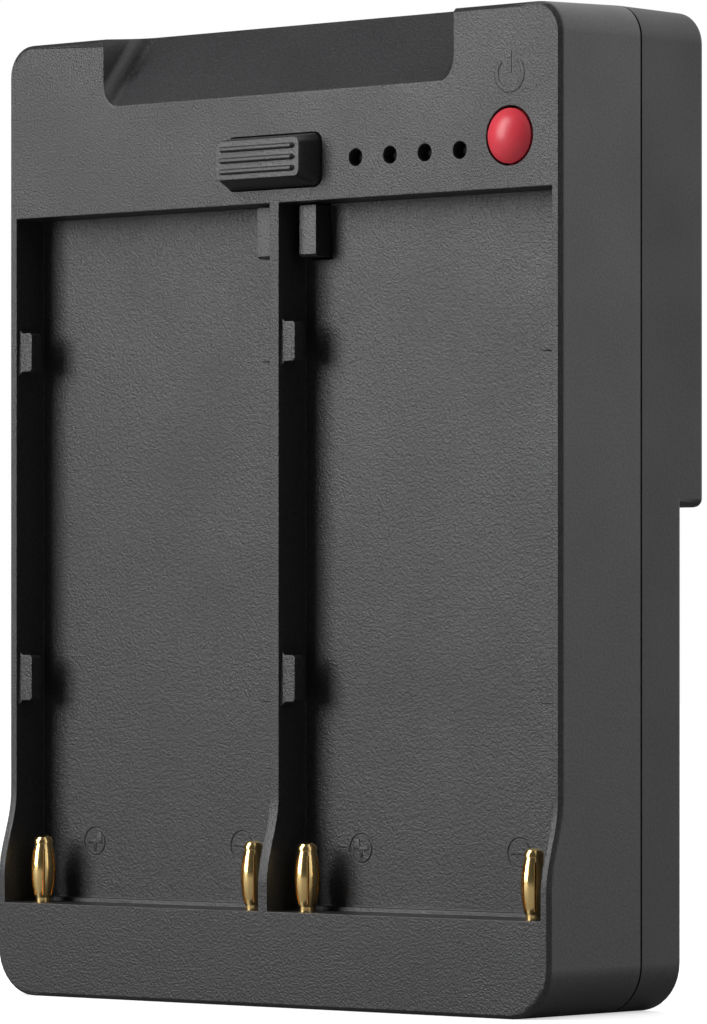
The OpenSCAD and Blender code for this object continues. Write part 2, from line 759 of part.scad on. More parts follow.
// Button, plate and both latches in one moulding
module release_button() {
    front = -button_out;
    face_w = button_w - 2 * button_taper;
    face_h = button_h - 2 * button_taper;
    face_z = button_z + button_lift;
    color(black_plastic)
    difference() {
        union() {
            // Block that passes through the window
            along_y(-0.3, plate_y + 0.1)
                outline_at(0, button_z, button_w, button_h, button_r);
            // Tapered head with a soft edge round its face
            hull() {
                along_y(-0.3, -0.29)
                    outline_at(0, button_z, button_w, button_h, button_r, $fn = 24);
                along_y(front + 0.2, front + 0.21)
                    outline_at(0, face_z, face_w, face_h, button_r - 0.1, $fn = 24);
                along_y(front + 0.06, front + 0.07)
                    outline_at(0, face_z, face_w - 0.14, face_h - 0.14, button_r - 0.15, $fn = 24);
                along_y(front, front + 0.01)
                    outline_at(0, face_z, face_w - 0.4, face_h - 0.4, button_r - 0.3, $fn = 24);
            }
            // Grip ribs with round crowns
            for (i = [-1 : 1])
                rib(face_z + i * rib_pitch, face_w - 2 * rib_w - 0.4, front);
            // Plate behind the bay floors
            along_y(plate_y, plate_back)
                outline(plate_w, latch_foot - 1.2, button_z + button_h / 2 + 0.8, 1, 1);
            // Latches
            for (side = [-1, 1])
                latch(side);
            for (side = [-1, 1])
                bar_y(side * spring_x, button_z, spigot_r, plate_back - 0.3, plate_back + spigot_len);
        }
        // Hollow in the back of the block, as in any thick moulding
        along_y(front + 1.6, plate_back + eps)
            outline_at(0, button_z, 4.6, button_h - 2.6, 0.5);
    }
}

// Grip rib with a rounded crown and round ends
module rib(z, len, front) {
    // Share of the width and of the height at each level of the crown
    crown = [[1, 0.45], [0.8, 0.8], [0.4, 1]];
    hull() {
        along_y(front - 0.01, front + 0.3)
            outline_at(0, z, len, rib_w, 0.45 * rib_w, $fn = 20);
        for (at = crown)
            along_y(front - at[1] * rib_out, front - at[1] * rib_out + 0.01)
                outline_at(0, z, len - (1 - at[0]) * rib_w, at[0] * rib_w, 0.45 * at[0] * rib_w, $fn = 20);
    }
}

// Latch with a lead-in bevel on its upper edge
module latch(side) {
    along_x(side * (latch_x + latch_w / 2) - latch_w / 2, side * (latch_x + latch_w / 2) + latch_w / 2)
        polygon([
            [plate_y + 0.3, latch_foot], [latch_recess + 0.3, latch_foot], [latch_recess, latch_foot + 0.3],
            [latch_recess, latch_top - 1.2], [latch_recess + 0.8, latch_top], [plate_y + 0.3, latch_top]
        ]);
}

// Coil spring along Y, closed by plain round wire
module spring(x) {
    y0 = plate_back + spring_wire / 2 + seat;
    y1 = spring_post_y - spring_wire / 2 - seat;
    steps = 16;
    sides = 6;
    n = spring_turns * steps;
    // Angle along the coil and the height there, flat over the end turns
    rings = [
        for (k = [0 : n])
            let (
                turn = k / steps,
                t = max(0, min(1, (turn - 0.8) / (spring_turns - 1.6))),
                y = y0 + spring_wire * 1.05 * min(turn, 0.8) / 0.8
                    + (y1 - y0 - 2.1 * spring_wire) * t
                    + spring_wire * 1.05 * max(0, turn - spring_turns + 0.8) / 0.8,
                a = 360 * turn
            )
            [
                for (j = [0 : sides - 1])
                    let (b = 360 * j / sides, rr = spring_r + spring_wire / 2 * cos(b))
                    [rr * cos(a), y + spring_wire / 2 * sin(b), rr * sin(a)]
            ]
    ];
    color(steel)
    translate([x, 0, button_z])
        polyhedron(
            points = [for (ring = rings) each ring],
            faces = concat(
                [[for (j = [0 : sides - 1]) j]],
                [
                    for (k = [0 : n - 1])
                        for (j = [0 : sides - 1])
                            let (
                                a = k * sides + j,
                                b = k * sides + (j + 1) % sides
                            )
                            each [[a, b + sides, b], [a, a + sides, b + sides]]
                ],
                [[for (j = [0 : sides - 1]) n * sides + sides - 1 - j]]
            )
        );
}

module release_spring_left() { spring(-spring_x); }
module release_spring_right() { spring(spring_x); }

// Power button: a domed cap with a flange behind the wall and a stem on the switch
module power_button() {
    r = power_d / 2;
    dome_r = (r * r + power_dome * power_dome) / (2 * power_dome);
    color(red_plastic)
    translate([power_x, 0, power_z]) rotate([-90, 0, 0]) {
        intersection() {
            translate([0, 0, dome_r - power_dome]) sphere(dome_r, $fn = 96);
            translate([0, 0, -power_dome]) cylinder(h = power_dome + 0.01, r = r);
        }
        cylinder(h = flange_y + 0.1, r = r);
        translate([0, 0, flange_y]) cylinder(h = flange_t, r = flange_r);
        translate([0, 0, flange_y]) cylinder(h = flange_t + 0.6, r = stem_r);
    }
}

module switch_plunger() {
    color(dark_ferrite)
    bar_y(power_x, power_z, plunger_r, flange_y + flange_t + 0.6, switch_face + 0.7);
}

module power_switch() {
    color(steel)
    difference() {
        box([power_x - 3, switch_face, power_z - 3], [power_x + 3, top_board_y, power_z + 3]);
        bar_y(power_x, power_z, plunger_r + seat, switch_face - eps, switch_face + 0.8 + power_travel);
    }
}

module lamp(i) {
    r = lamp_d / 2;
    color([0.85, 0.88, 0.9])
    translate([lamp_x + (i - 1) * lamp_pitch, 0, lamp_z]) rotate([-90, 0, 0]) {
        translate([0, 0, lamp_tip + r]) sphere(r);
        translate([0, 0, lamp_tip + r]) cylinder(h = top_board_y - lamp_tip - r, r = r);
        translate([0, 0, top_board_y - lamp_base_t]) cylinder(h = lamp_base_t, r = r + 0.35);
    }
}

module lamp_1() { lamp(1); }
module lamp_2() { lamp(2); }
module lamp_3() { lamp(3); }
module lamp_4() { lamp(4); }

module indicator_board() {
    color(board_green)
    difference() {
        box([lamp_x - 2.3, top_board_y, top_board_z],
            [cavity_x - 1.4, top_board_y + board_t, top_board_z + top_board_h]);
        for (x = top_post_x)
            bar_y(x, top_post_z, 1, top_board_y - eps, top_board_y + board_t + eps);
    }
}

module main_board() {
    color(board_green)
    difference() {
        box([-main_board_w / 2, main_board_y, main_board_z],
            [main_board_w / 2, main_board_y + board_t, main_board_z + main_board_h]);
        for (side = [-1, 1])
            for (z = main_post_z)
                bar_y(side * main_post_x, z, 1, main_board_y - eps, main_board_y + board_t + eps);
    }
}

module contact_board() {
    color(board_green)
    difference() {
        box([-contact_board_w / 2, contact_board_y[0], contact_board_z],
            [contact_board_w / 2, contact_board_y[1], contact_board_z + board_t]);
        for (x = pin_x)
            translate([x, pin_y, contact_board_z - eps])
                cylinder(h = board_t + 2 * eps, r = pin_core_r + seat);
    }
}

module chokes() {
    color(dark_ferrite)
    for (side = [-1, 1]) {
        bar_y(side * choke_x, choke_z, choke_r, component_y, component_y + 1.2);
        bar_y(side * choke_x, choke_z, choke_r - 1.4, component_y, component_y + 5);
        bar_y(side * choke_x, choke_z, choke_r, component_y + 4, component_y + 5.2);
    }
}

module capacitors() {
    color(steel)
    for (i = [-1 : 1]) {
        bar_y(i * can_x, can_z, can_r + 0.4, component_y, component_y + 1);
        bar_y(i * can_x, can_z, can_r, component_y, component_y + 6);
    }
}

// Insulated wire through a few points, with round elbows
module lead(points, r) {
    for (i = [0 : len(points) - 2])
        let (
            run = points[i + 1] - points[i],
            len = norm(run)
        )
        translate(points[i])
            rotate([0, acos(run[2] / len), atan2(run[1], run[0])])
                cylinder(h = len, r = r, $fn = 16);
    for (i = [1 : len(points) - 2])
        translate(points[i]) sphere(r, $fn = 16);
}

module battery_leads() {
    r = 0.7;
    low = contact_board_z + board_t;
    y_low = contact_board_y[1] - 1.2;
    y_up = floor_back + 1.6;
    color([0.6, 0.1, 0.1])
    for (x = [-lead_x[0], -lead_x[1], lead_x[1], lead_x[0]])
        lead([[x, y_low, low], [x, y_low, low + 1.4], [x, y_up, low + 1.4], [x, y_up, main_board_z + 5],
              [x, main_board_y, main_board_z + 5]], r);
}

module output_leads() {
    r = 0.7;
    color([0.6, 0.1, 0.1])
    for (side = [-1, 1])
        lead([[side * power_socket_x, tail_tip, tail_z], [side * power_socket_x, tail_tip - 1.5, tail_z],
              [side * power_socket_x, tail_tip - 1.5, main_board_z + 8],
              [side * power_socket_x, component_y, main_board_z + 8]], r);
}

module indicator_ribbon() {
    t = 0.5;
    low = main_board_z + main_board_h;
    up = top_board_y + board_t;
    color([0.75, 0.75, 0.72])
    along_x(ribbon_x, ribbon_x + ribbon_w) polygon([
        [component_y, low - 6], [component_y + t, low - 6], [component_y + t, low + 3],
        [up + t, top_board_z - 3], [up + t, top_board_z + 4], [up, top_board_z + 4],
        [up, top_board_z - 3.3], [component_y, low + 2.7]
    ]);
}

// Self-tapping screw with a pan head and a cross recess, its thread left plain
module pan_screw(x, z, seat_y, tip_y, r, head_r, head_t) {
    difference() {
        union() {
            bar_y(x, z, r, tip_y, seat_y + 0.1);
            bar_y(x, z, head_r, seat_y, seat_y + head_t * 0.6);
            bar_y(x, z, head_r, seat_y + head_t * 0.6, seat_y + head_t, head_r * 0.7);
        }
        cross_recess(x, z, seat_y + head_t, head_r * 0.65);
    }
}

module cross_recess(x, z, top, reach_r) {
    for (turn = [0, 90])
        translate([x, top, z]) rotate([0, turn, 0])
            box([-reach_r, -0.8, -0.22], [reach_r, eps, 0.22]);
}

module housing_screws() {
    color(steel)
    for (at = housing_screw_at)
        pan_screw(at[0], at[1], screw_seat_y, screw_tip_y, screw_r, screw_head_r, screw_head_t);
}

module board_screws() {
    color(steel) {
        for (side = [-1, 1])
            for (z = main_post_z)
                pan_screw(side * main_post_x, z, component_y, floor_back + 0.5, 0.75, 1.5, 1);
        for (x = top_post_x)
            pan_screw(x, top_post_z, top_board_y + board_t, wall_t + 1, 0.75, 1.4, 1);
    }
}

module wedge_screws() {
    color(steel)
    for (at = wedge_screw_at)
        difference() {
            union() {
                bar_y(at[0], at[1], wedge_screw_r, wedge_screw_tip, wedge_back - 0.1);
                bar_y(at[0], at[1], wedge_screw_r, wedge_back - wedge_head_t, wedge_back - 0.1,
                      wedge_head_r - 0.1);
            }
            cross_recess(at[0], at[1], wedge_back - 0.1, 1.5);
        }
}

front_shell();
back_shell();
dovetail_wedge();
socket_block();
power_socket_left();
power_socket_right();
data_socket_left();
data_socket_right();
pin_left_outer();
pin_left_inner();
pin_right_inner();
pin_right_outer();
release_button();
release_spring_left();
release_spring_right();
power_button();
switch_plunger();
power_switch();
lamp_1();
lamp_2();
lamp_3();
lamp_4();
contact_board();
main_board();
indicator_board();
chokes();
capacitors();
battery_leads();
output_leads();
indicator_ribbon();
housing_screws();
wedge_screws();
board_screws();
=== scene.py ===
"""Looks of the battery adapter plate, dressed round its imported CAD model.

The housing is injection-moulded black ABS with a fine grain, the pins are gold plated,
the power button is polished red ABS. Lengths in the settings are in metres.
"""

import json
import math

import bmesh
import bpy
from bpy.props import (
    FloatProperty,
    FloatVectorProperty,
    IntProperty,
    PointerProperty,
    StringProperty,
)
from bpy.types import Operator, Panel, PropertyGroup
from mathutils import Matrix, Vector

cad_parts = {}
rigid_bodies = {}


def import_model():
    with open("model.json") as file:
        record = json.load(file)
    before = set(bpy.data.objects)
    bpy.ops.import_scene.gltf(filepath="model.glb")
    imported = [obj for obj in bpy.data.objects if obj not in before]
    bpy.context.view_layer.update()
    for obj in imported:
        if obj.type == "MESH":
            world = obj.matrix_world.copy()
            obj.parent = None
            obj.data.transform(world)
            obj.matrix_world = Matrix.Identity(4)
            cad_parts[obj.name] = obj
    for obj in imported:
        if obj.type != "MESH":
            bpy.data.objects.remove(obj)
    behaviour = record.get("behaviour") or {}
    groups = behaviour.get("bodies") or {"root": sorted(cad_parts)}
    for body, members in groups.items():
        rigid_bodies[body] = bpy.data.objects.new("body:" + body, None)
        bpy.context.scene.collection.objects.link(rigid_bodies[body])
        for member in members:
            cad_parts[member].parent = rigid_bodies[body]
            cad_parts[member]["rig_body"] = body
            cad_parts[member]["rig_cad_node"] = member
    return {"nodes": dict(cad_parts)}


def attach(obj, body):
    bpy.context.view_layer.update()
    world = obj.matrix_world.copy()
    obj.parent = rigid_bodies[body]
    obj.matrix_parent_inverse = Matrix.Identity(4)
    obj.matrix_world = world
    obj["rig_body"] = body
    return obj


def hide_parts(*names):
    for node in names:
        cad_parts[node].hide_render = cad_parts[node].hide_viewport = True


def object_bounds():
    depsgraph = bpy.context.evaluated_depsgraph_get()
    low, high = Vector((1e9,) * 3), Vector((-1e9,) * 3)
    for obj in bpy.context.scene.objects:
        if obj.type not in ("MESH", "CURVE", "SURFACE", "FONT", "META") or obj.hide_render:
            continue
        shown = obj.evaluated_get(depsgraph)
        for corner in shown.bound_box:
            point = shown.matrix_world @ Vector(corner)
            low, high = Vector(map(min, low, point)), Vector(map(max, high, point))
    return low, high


bl_info = {
    "name": "Battery adapter plate",
    "version": (1, 0, 0),
    "blender": (4, 5, 0),
    "location": "3D View > Sidebar > Adapter",
    "description": "Dresses the CAD model of a twin battery adapter plate with its finishes",
    "category": "Object",
}

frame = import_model()
CAD_BOX = [list(corner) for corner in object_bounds()]

MM = 0.001
BAY_FLOOR = 4.6 * MM
CASE_WIDTH, CASE_HEIGHT = 82.4 * MM, 109.8 * MM
TOP_CORNER, FOOT_CORNER = 3.5 * MM, 5.5 * MM
EDGE_RADIUS = 0.9 * MM
CHIN_OUT, RAMP_FOOT, RAMP_HEIGHT = 2 * MM, 13.6 * MM, 10 * MM
SCOOP_FOOT, SCOOP_WIDTH = 102 * MM, 52.2 * MM
BUTTON_FACE, BUTTON_MIDDLE, LATCH_FACE = -2.9 * MM, 94.4 * MM, 2.1 * MM


# Settings


class HousingSettings(PropertyGroup):
    colour: StringProperty(
        name="Black ABS", description="Colour of the front shell", default="#272729"
    )
    back_colour: StringProperty(
        name="Back shell", description="Colour of the back shell and the wedge", default="#202022"
    )
    roughness: FloatProperty(
        name="Roughness",
        description="Roughness of the spark-eroded moulding",
        default=0.43,
        min=0.2,
        max=0.9,
        subtype="FACTOR",
    )
    grain: FloatProperty(
        name="Grain",
        description="Width of one grain of the moulding",
        default=0.28 * MM,
        min=0.1 * MM,
        max=2 * MM,
        unit="LENGTH",
        precision=5,
    )
    grain_depth: FloatProperty(
        name="Grain depth",
        description="Height of the grain",
        default=0.05 * MM,
        min=0.0,
        max=0.2 * MM,
        unit="LENGTH",
        precision=6,
    )
    edge: FloatProperty(
        name="Edge radius",
        description="Radius on the sharp edges of the mouldings",
        default=0.14 * MM,
        min=0.05 * MM,
        max=0.4 * MM,
        unit="LENGTH",
        precision=5,
    )
    bevel: FloatProperty(
        name="Front bevel",
        description="Width of the bevel round the front of the case",
        default=0.66 * MM,
        min=0.3 * MM,
        max=0.9 * MM,
        unit="LENGTH",
        precision=5,
    )
    draft: FloatProperty(
        name="Draft",
        description="How much higher the case is at its seam than at its front",
        default=0.6 * MM,
        min=0.0,
        max=1 * MM,
        unit="LENGTH",
        precision=5,
    )


class ButtonSettings(PropertyGroup):
    red: StringProperty(
        name="Red ABS", description="Colour of the power button", default="#dc3a48"
    )
    red_roughness: FloatProperty(
        name="Button roughness",
        description="Roughness of the polished power button",
        default=0.38,
        min=0.05,
        max=0.8,
        subtype="FACTOR",
    )
    grip: StringProperty(
        name="Grip",
        description="Colour of the release button",
        default="#262628",
    )


class MarkSettings(PropertyGroup):
    polarity_radius: FloatProperty(
        name="Polarity mark",
        description="Radius of the ring grooves round the polarity signs",
        default=1.6 * MM,
        min=0.8 * MM,
        max=2.5 * MM,
        unit="LENGTH",
        precision=5,
    )
    polarity_groove: FloatProperty(
        name="Groove",
        description="Radius of the round bottom of the ring grooves",
        default=0.15 * MM,
        min=0.05 * MM,
        max=0.3 * MM,
        unit="LENGTH",
        precision=5,
    )
    polarity_height: FloatProperty(
        name="Mark height",
        description="Height of the polarity marks above the bottom",
        default=17.7 * MM,
        min=14 * MM,
        max=30 * MM,
        unit="LENGTH",
        precision=5,
    )
    power_place: FloatVectorProperty(
        name="Power sign",
        description="Middle of the power sign, to the right and up",
        default=(34.05 * MM, 102.2 * MM),
        size=2,
        unit="LENGTH",
        precision=5,
    )
    power_radius: FloatProperty(
        name="Power sign radius",
        description="Outer radius of the ring of the power sign",
        default=2.1 * MM,
        min=1 * MM,
        max=3 * MM,
        unit="LENGTH",
        precision=5,
    )
    power_stroke: FloatProperty(
        name="Stroke",
        description="Width of the strokes of the power sign",
        default=0.55 * MM,
        min=0.2 * MM,
        max=1 * MM,
        unit="LENGTH",
        precision=5,
    )


class MetalSettings(PropertyGroup):
    gold: StringProperty(
        name="Gold plating", description="Colour of the pins", default="#ffdc96"
    )
    gold_roughness: FloatProperty(
        name="Gold roughness",
        description="Roughness of the plated pins",
        default=0.18,
        min=0.02,
        max=0.6,
        subtype="FACTOR",
    )
    steel: StringProperty(
        name="Zinc", description="Colour of the screws", default="#b9babd"
    )


class StageSettings(PropertyGroup):
    camera_place: FloatVectorProperty(
        name="Camera",
        description="Place of the camera",
        default=(0.45658, -0.51534, 0.03959),
        size=3,
        unit="LENGTH",
    )
    camera_turn: FloatProperty(
        name="Camera turn",
        description="How far round the plate the camera stands",
        default=math.radians(40.8),
        unit="ROTATION",
    )
    lens: FloatProperty(
        name="Lens", description="Focal length in millimetres", default=216.5
    )
    rise: FloatProperty(
        name="Rise", description="Upward shift of the frame", default=0.137
    )
    key_power: FloatProperty(
        name="Key light",
        description="Power of the soft light to the left of the front",
        default=4.2,
        min=0.0,
        unit="POWER",
    )
    ambient: FloatProperty(
        name="Ambient", description="Brightness of the dim side of the studio", default=0.05
    )
    backdrop: FloatProperty(
        name="Backdrop", description="Brightness of the pale side of the studio", default=1.5
    )
    floor_sides: IntProperty(
        name="Floor sides", description="Corners of the round floor", default=96, min=12
    )


# Small helpers


def linear(hex_colour):
    """Linear RGBA of an sRGB hex colour."""
    channels = [int(hex_colour[i : i + 2], 16) / 255 for i in (1, 3, 5)]
    return [
        *(c / 12.92 if c <= 0.04045 else ((c + 0.055) / 1.055) ** 2.4 for c in channels),
        1.0,
    ]


def add_node(tree, kind, links=(), **values):
    """Adds a node. values are its settings or its inputs' values, links are (input, socket)."""
    node = tree.nodes.new(kind)
    for name, value in values.items():
        if hasattr(node, name):
            setattr(node, name, value)
    for name, value in values.items():
        if not hasattr(node, name):
            node.inputs[name.replace("_", " ").title().replace("Ior", "IOR")].default_value = value
    for socket, output in links:
        tree.links.new(output, node.inputs[socket])
    return node


def new_material(name):
    """An empty node material with its output, and the tree that holds them."""
    material = bpy.data.materials.new(name)
    material.use_nodes = True
    material.node_tree.nodes.clear()
    output = add_node(material.node_tree, "ShaderNodeOutputMaterial")
    return material, material.node_tree, output


def noise(tree, place, size, detail):
    """Noise in Object coordinates whose patches have the given size."""
    return add_node(
        tree,
        "ShaderNodeTexNoise",
        [("Vector", place.outputs["Object"])],
        scale=1 / size,
        detail=detail,
    )


def two_tones(tree, factor, dark, light):
    """Mix of two linear colours by a factor."""
    tone = add_node(tree, "ShaderNodeMix", [("Factor", factor)], data_type="RGBA")
    tone.inputs[6].default_value = (*dark[:3], 1)
    tone.inputs[7].default_value = (*light[:3], 1)
    return tone


def shades(colour, darker, lighter):
    """A darker and a lighter linear shade of a hex colour."""
    return [Vector(linear(colour)[:3]) * factor for factor in (darker, lighter)]


def select_only(piece):
    bpy.ops.object.select_all(action="DESELECT")
    piece.select_set(True)
    bpy.context.view_layer.objects.active = piece


def give(piece, material):
    """Puts one material on a whole piece or CAD node."""
    piece.data.materials.clear()
    piece.data.materials.append(material)


def apply_modifier(piece, kind, **settings):
    select_only(piece)
    modifier = piece.modifiers.new(kind.title(), kind)
    for name, value in settings.items():
        setattr(modifier, name, value)
    bpy.ops.object.modifier_apply(modifier=modifier.name)


def copy_of(node, name):
    """A merged copy of a CAD node, with its flat faces whole, that stands for the node."""
    select_only(frame["nodes"][node])
    bpy.ops.object.duplicate()
    piece = bpy.context.active_object
    piece.name = piece.data.name = name
    body = piece["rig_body"]
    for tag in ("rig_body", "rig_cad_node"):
        del piece[tag]
    piece.parent = None
    bpy.ops.object.mode_set(mode="EDIT")
    bpy.ops.mesh.select_mode(type="VERT")
    bpy.ops.mesh.select_all(action="SELECT")
    bpy.ops.mesh.remove_doubles(threshold=0.001 * MM)
    bpy.ops.mesh.dissolve_limited(angle_limit=math.radians(0.4))
    bpy.ops.object.mode_set(mode="OBJECT")
    bpy.ops.mesh.customdata_custom_splitnormals_clear()
    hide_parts(node)
    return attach(piece, body)


def round_edges(piece, width, shown=None, sharper=50, segments=2):
    """Bevels the sharp edges of a piece, or those whose middle passes the test in shown."""
    select_only(piece)
    bpy.ops.object.mode_set(mode="EDIT")
    bpy.ops.mesh.select_mode(type="EDGE")
    bpy.ops.mesh.select_all(action="DESELECT")
    bpy.ops.mesh.edges_select_sharp(sharpness=math.radians(sharper))
    mesh = bmesh.from_edit_mesh(piece.data)
    sharp = [edge for edge in mesh.edges if edge.select]
    bpy.ops.mesh.select_all(action="DESELECT")
    for edge in sharp:
        middle = (edge.verts[0].co + edge.verts[1].co) / 2
        if shown is None or shown(middle):
            edge.select_set(True)
    bmesh.update_edit_mesh(piece.data)
    bpy.ops.mesh.bevel(
        offset=width,
        segments=segments,
        affect="EDGES",
        clamp_overlap=False,
        loop_slide=False,
        miter_outer="SHARP",
    )
    bpy.ops.object.mode_set(mode="OBJECT")


def outline_inset(x, z):
    """How far a point lies inside the outline of the case, and the way out to that outline."""
    half, top = CASE_WIDTH / 2, CASE_HEIGHT
    radius = TOP_CORNER if z > top / 2 else FOOT_CORNER
    corner = Vector((half - radius, top - radius if z > top / 2 else radius))
    side = 1 if x > 0 else -1
    up = 1 if z > top / 2 else -1
    away = Vector((abs(x) - corner.x, (z - corner.y) * up))
    if away.x > 0 and away.y > 0:
        return radius - away.length, Vector((side * away.x, up * away.y)).normalized()
    if half - abs(x) < min(z, top - z):
        return half - abs(x), Vector((side, 0))
    return min(z, top - z), Vector((0, up))


# Rows of the round front edge: its turn in degrees, then how far in and back the bevel has it
BEVEL_PROFILE = (
    (0, 0.0, 1.0),
    (15, 0.0, 0.75),
    (30, 0.05, 0.62),
    (45, 0.33, 0.33),
    (60, 0.6, 0.06),
    (75, 0.68, 0.0),
    (90, 1.0, 0.0),
)


def chamfer_front(shell, width, round_radius):
    """Turns the round front edge of the shell into the crisp bevel that the real one has."""
    edge = round_radius - 0.005 * MM
    for vertex in shell.data.vertices:
        inset, out = outline_inset(vertex.co.x, vertex.co.z)
        depth = vertex.co.y - front_face(vertex.co.z)
        if inset > edge or depth > edge or depth < -0.02 * MM:
            continue
        turn = math.degrees(math.acos(1 - max(0, inset) / round_radius))
        if abs(depth - round_radius * (1 - math.sin(math.radians(turn)))) > 0.05 * MM:
            continue
        _, inward, back = min(BEVEL_PROFILE, key=lambda row: abs(row[0] - turn))
        vertex.co.y += back * width - depth
        vertex.co.x += out.x * (inset - inward * width)
        vertex.co.z += out.y * (inset - inward * width)


def front_face(z):
    """Front of the rims at a height, with the S-curve down to the chin."""
    part = min(1, max(0, (RAMP_FOOT + RAMP_HEIGHT - z) / RAMP_HEIGHT))
    return -CHIN_OUT * (1 - math.cos(math.pi * part)) / 2


def draft_top(shell, rise):
    """Leans the top of the case up towards the seam, as the moulding's draft does."""
    for vertex in shell.data.vertices:
        near_top = (vertex.co.z - 0.9 * CASE_HEIGHT) / (0.1 * CASE_HEIGHT)
        if near_top > 0:
            along = min(1, max(0, vertex.co.y / (7 * MM)))
            vertex.co.z += rise * along * near_top


def smooth(piece, angle=30, flat_faces=True):
    """Smooths the shading of curved faces and, if there are any, keeps flat faces flat."""
    select_only(piece)
    bpy.ops.object.shade_smooth_by_angle(angle=math.radians(angle))
    if flat_faces:
        apply_modifier(piece, "WEIGHTED_NORMAL", keep_sharp=True)


def finish_piece(piece, material, body):
    give(piece, material)
    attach(piece, body)


# Materials


def moulded_abs(name, colour, roughness, grain, grain_depth):
    """Injection-moulded ABS from a spark-eroded tool: a matt, faintly sparkling grain
    that breaks the highlights up, with slow changes of gloss from the flow of the melt."""
    material, tree, output = new_material(name)
    place = add_node(tree, "ShaderNodeTexCoord")
    flow = noise(tree, place, 14 * MM, 2.0)
    pits = noise(tree, place, grain, 1.0)
    specks = noise(tree, place, grain / 1.6, 1.0)
    contrast = add_node(
        tree, "ShaderNodeMapRange", [("Value", pits.outputs["Fac"])], from_min=0.38, from_max=0.62
    )
    tone = two_tones(tree, contrast.outputs["Result"], *shades(colour, 0.7, 1.3))
    shine = add_node(
        tree,
        "ShaderNodeMapRange",
        [("Value", flow.outputs["Fac"])],
        from_min=0.3,
        from_max=0.7,
        to_min=roughness - 0.04,
        to_max=roughness + 0.04,
    )
    height = add_node(
        tree,
        "ShaderNodeMath",
        [(0, pits.outputs["Fac"]), (1, specks.outputs["Fac"])],
        operation="ADD",
    )
    # The walls slide out of the tool, so it is polished there and grained on the flat faces
    facing = add_node(tree, "ShaderNodeSeparateXYZ", [("Vector", place.outputs["Normal"])])
    flatness = add_node(tree, "ShaderNodeMath", [(0, facing.outputs["Y"])], operation="ABSOLUTE")
    grained = add_node(
        tree,
        "ShaderNodeMapRange",
        [("Value", flatness.outputs[0])],
        from_min=0.5,
        from_max=0.95,
        to_min=0.2,
        to_max=1.0,
    )
    bump = add_node(
        tree,
        "ShaderNodeBump",
        [("Height", height.outputs[0]), ("Strength", grained.outputs["Result"])],
        distance=grain_depth,
    )
    shader = add_node(
        tree,
        "ShaderNodeBsdfPrincipled",
        [
            ("Base Color", tone.outputs[2]),
            ("Roughness", shine.outputs["Result"]),
            ("Normal", bump.outputs["Normal"]),
        ],
        ior=1.53,
    )
    tree.links.new(shader.outputs[0], output.inputs["Surface"])
    return material


def polished_abs(name, colour, roughness):
    """Coloured ABS from a polished tool: a glossy skin with a trace of orange peel."""
    material, tree, output = new_material(name)
    peel = noise(tree, add_node(tree, "ShaderNodeTexCoord"), 0.9 * MM, 2.0)
    tone = two_tones(tree, peel.outputs["Fac"], *shades(colour, 0.94, 1.06))
    bump = add_node(
        tree, "ShaderNodeBump", [("Height", peel.outputs["Fac"])], strength=0.3, distance=0.01 * MM
    )
    shader = add_node(
        tree,
        "ShaderNodeBsdfPrincipled",
        [("Base Color", tone.outputs[2]), ("Normal", bump.outputs["Normal"])],
        roughness=roughness,
        ior=1.53,
    )
    tree.links.new(shader.outputs[0], output.inputs["Surface"])
    return material


def plated_metal(name, colour, roughness, wear):
    """Plated or drawn metal: a clean mirror-like skin, with faint turning lines in its gloss."""
    material, tree, output = new_material(name)
    place = add_node(tree, "ShaderNodeTexCoord")
    stretch = add_node(
        tree, "ShaderNodeMapping", [("Vector", place.outputs["Object"])], vector_type="POINT"
    )
    stretch.inputs["Scale"].default_value = (1, 1, 6)
    lines = add_node(
        tree,
        "ShaderNodeTexNoise",
        [("Vector", stretch.outputs[0])],
        scale=1 / (0.5 * MM),
        detail=2.0,
    )
    shine = add_node(
        tree,
        "ShaderNodeMapRange",
        [("Value", lines.outputs["Fac"])],
        to_min=max(0.02, roughness - wear),
        to_max=roughness + wear,
    )
    tone = two_tones(tree, lines.outputs["Fac"], *shades(colour, 0.94, 1.04))
    shader = add_node(
        tree,
        "ShaderNodeBsdfPrincipled",
        [("Base Color", tone.outputs[2]), ("Roughness", shine.outputs["Result"])],
        metallic=1.0,
    )
    tree.links.new(shader.outputs[0], output.inputs["Surface"])
    return material


def speckled(name, colour, other, size, roughness, ior=1.5):
    """A plain technical material, such as solder mask, ferrite or film: two close tones in
    patches of a given size, and a little variation in its gloss."""
    material, tree, output = new_material(name)
    patches = noise(tree, add_node(tree, "ShaderNodeTexCoord"), size, 4.0)
    tone = two_tones(tree, patches.outputs["Fac"], linear(colour), linear(other))
    shine = add_node(
        tree,
        "ShaderNodeMapRange",
        [("Value", patches.outputs["Fac"])],
        to_min=roughness - 0.05,
        to_max=roughness + 0.05,
    )
    shader = add_node(
        tree,
        "ShaderNodeBsdfPrincipled",
        [("Base Color", tone.outputs[2]), ("Roughness", shine.outputs["Result"])],
        ior=ior,
    )
    tree.links.new(shader.outputs[0], output.inputs["Surface"])
    return material


def material_named(name, make, *values):
    """The material of that name, made on its first use."""
    return bpy.data.materials.get(name) or make(name, *values)


def housing_abs():
    s = bpy.context.scene.adapter_housing
    return material_named(
        "black_abs_moulded", moulded_abs, s.colour, s.roughness, s.grain, s.grain_depth
    )


def back_abs():
    """The same ABS for the back shell and the wedge: duller from the tool of the back shell, and a
    little darker.
    """
    s = bpy.context.scene.adapter_housing
    roughness = s.roughness + 0.12
    return material_named(
        "black_abs_back_tool", moulded_abs, s.back_colour, roughness, s.grain, s.grain_depth
    )


def gold():
    s = bpy.context.scene.adapter_metal
    return material_named("gold_plated_brass", plated_metal, s.gold, s.gold_roughness, 0.05)


